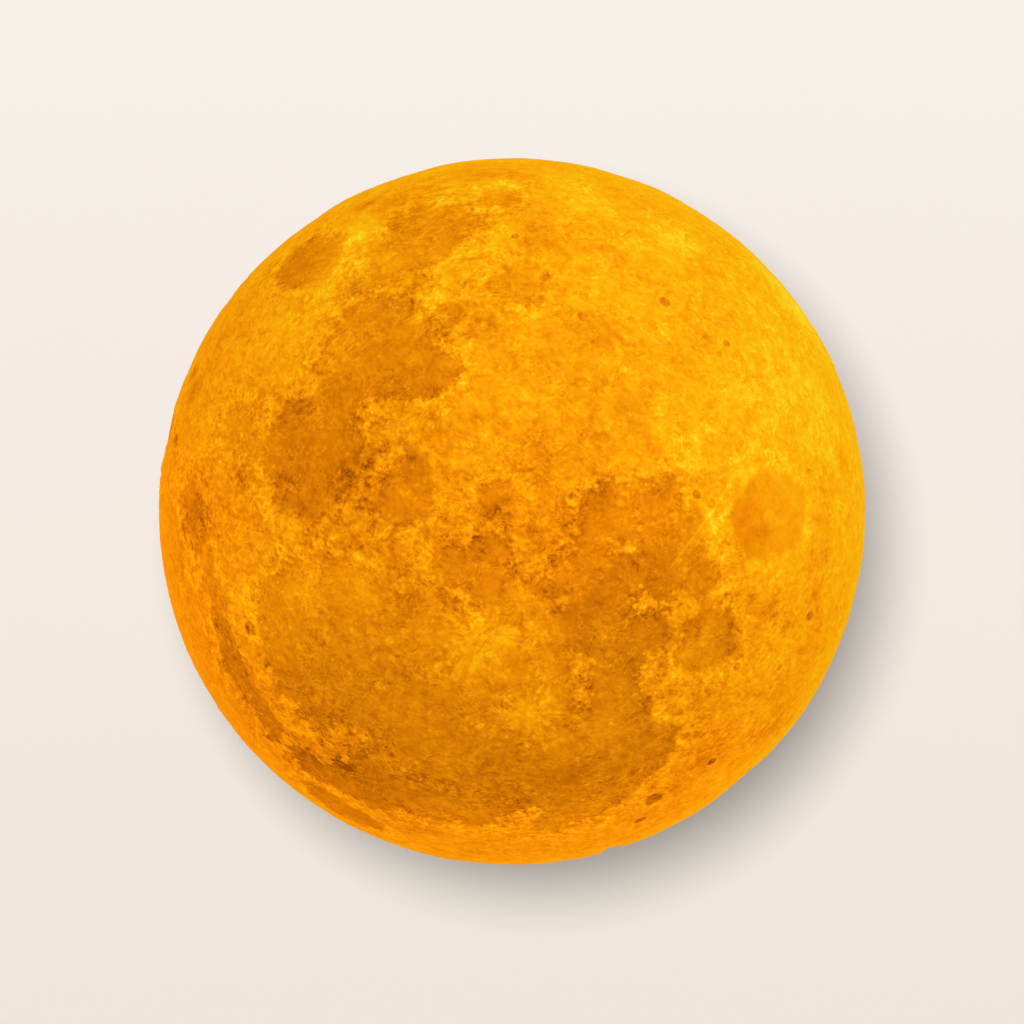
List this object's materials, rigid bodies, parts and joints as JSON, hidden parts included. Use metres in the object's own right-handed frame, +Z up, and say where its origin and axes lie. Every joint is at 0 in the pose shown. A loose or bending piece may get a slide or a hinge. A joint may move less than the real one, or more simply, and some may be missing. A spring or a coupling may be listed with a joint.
{
  "type": "moon lamp",
  "caption": "Round table lamp shaped as a cratered moon globe on a small round base, with a lit column inside and a push button underneath.",
  "frame": {"origin": "middle of the foot ring's underside, on the table", "axes": "+Z up out of the table towards the globe's top; +X to the right of the picture, which looks straight down; the charging socket is on the +X side of the underside and the button on the -X side"},
  "size_m": [0.1503, 0.1505, 0.1516],
  "materials": {
    "globe": "translucent printed plastic, lit from inside",
    "white_abs": "fine satin",
    "chrome_ring": "polished",
    "silicone": "matt",
    "screw_steel": "satin",
    "board_green": "glossy",
    "chip_black": "matt",
    "socket_steel": "satin",
    "stem_white": "satin",
    "button_grey": "satin",
    "clear_acrylic": "clear",
    "led_yellow": "glossy",
    "cell_wrap": "shrink film",
    "foam": "closed-cell foam",
    "nylon": "satin",
    "aluminium": "turned",
    "board_white": "glossy",
    "opal": "opal",
    "lead_red": "soft",
    "lead_white": "soft"
  },
  "bodies": {
    "lamp": {"moon_globe": "globe", "globe_collar": "white_abs", "touch_ring": "chrome_ring", "bottom_cover": "white_abs", "foot_ring": "silicone", "cover_screws": "screw_steel", "light_column": "white_abs", "control_board": "board_green", "board_screws": "screw_steel", "board_chips": "chip_black", "usb_shell": "socket_steel", "usb_tongue": "chip_black", "switch_body": "chip_black", "indicator_lens": "clear_acrylic", "indicator_led": "led_yellow", "battery_tray": "white_abs", "battery_cell": "cell_wrap", "cell_pad": "foam", "battery_plug": "nylon", "heat_spreader": "aluminium", "led_board": "board_white", "led_chips": "led_yellow", "led_screws": "screw_steel", "diffuser_cap": "opal", "battery_leads": "lead_red", "led_leads": "lead_white", "touch_lead": "lead_white"},
    "button": {"power_button": "button_grey", "switch_stem": "stem_white"}
  },
  "joints": [
    {"name": "power_button_press", "type": "slide", "parent": "lamp", "child": "button", "axis": [0, 0, 1], "range_m": [0, 0.0005], "stiffness_N_per_m": 600, "springref_m": -0.002}
  ]
}
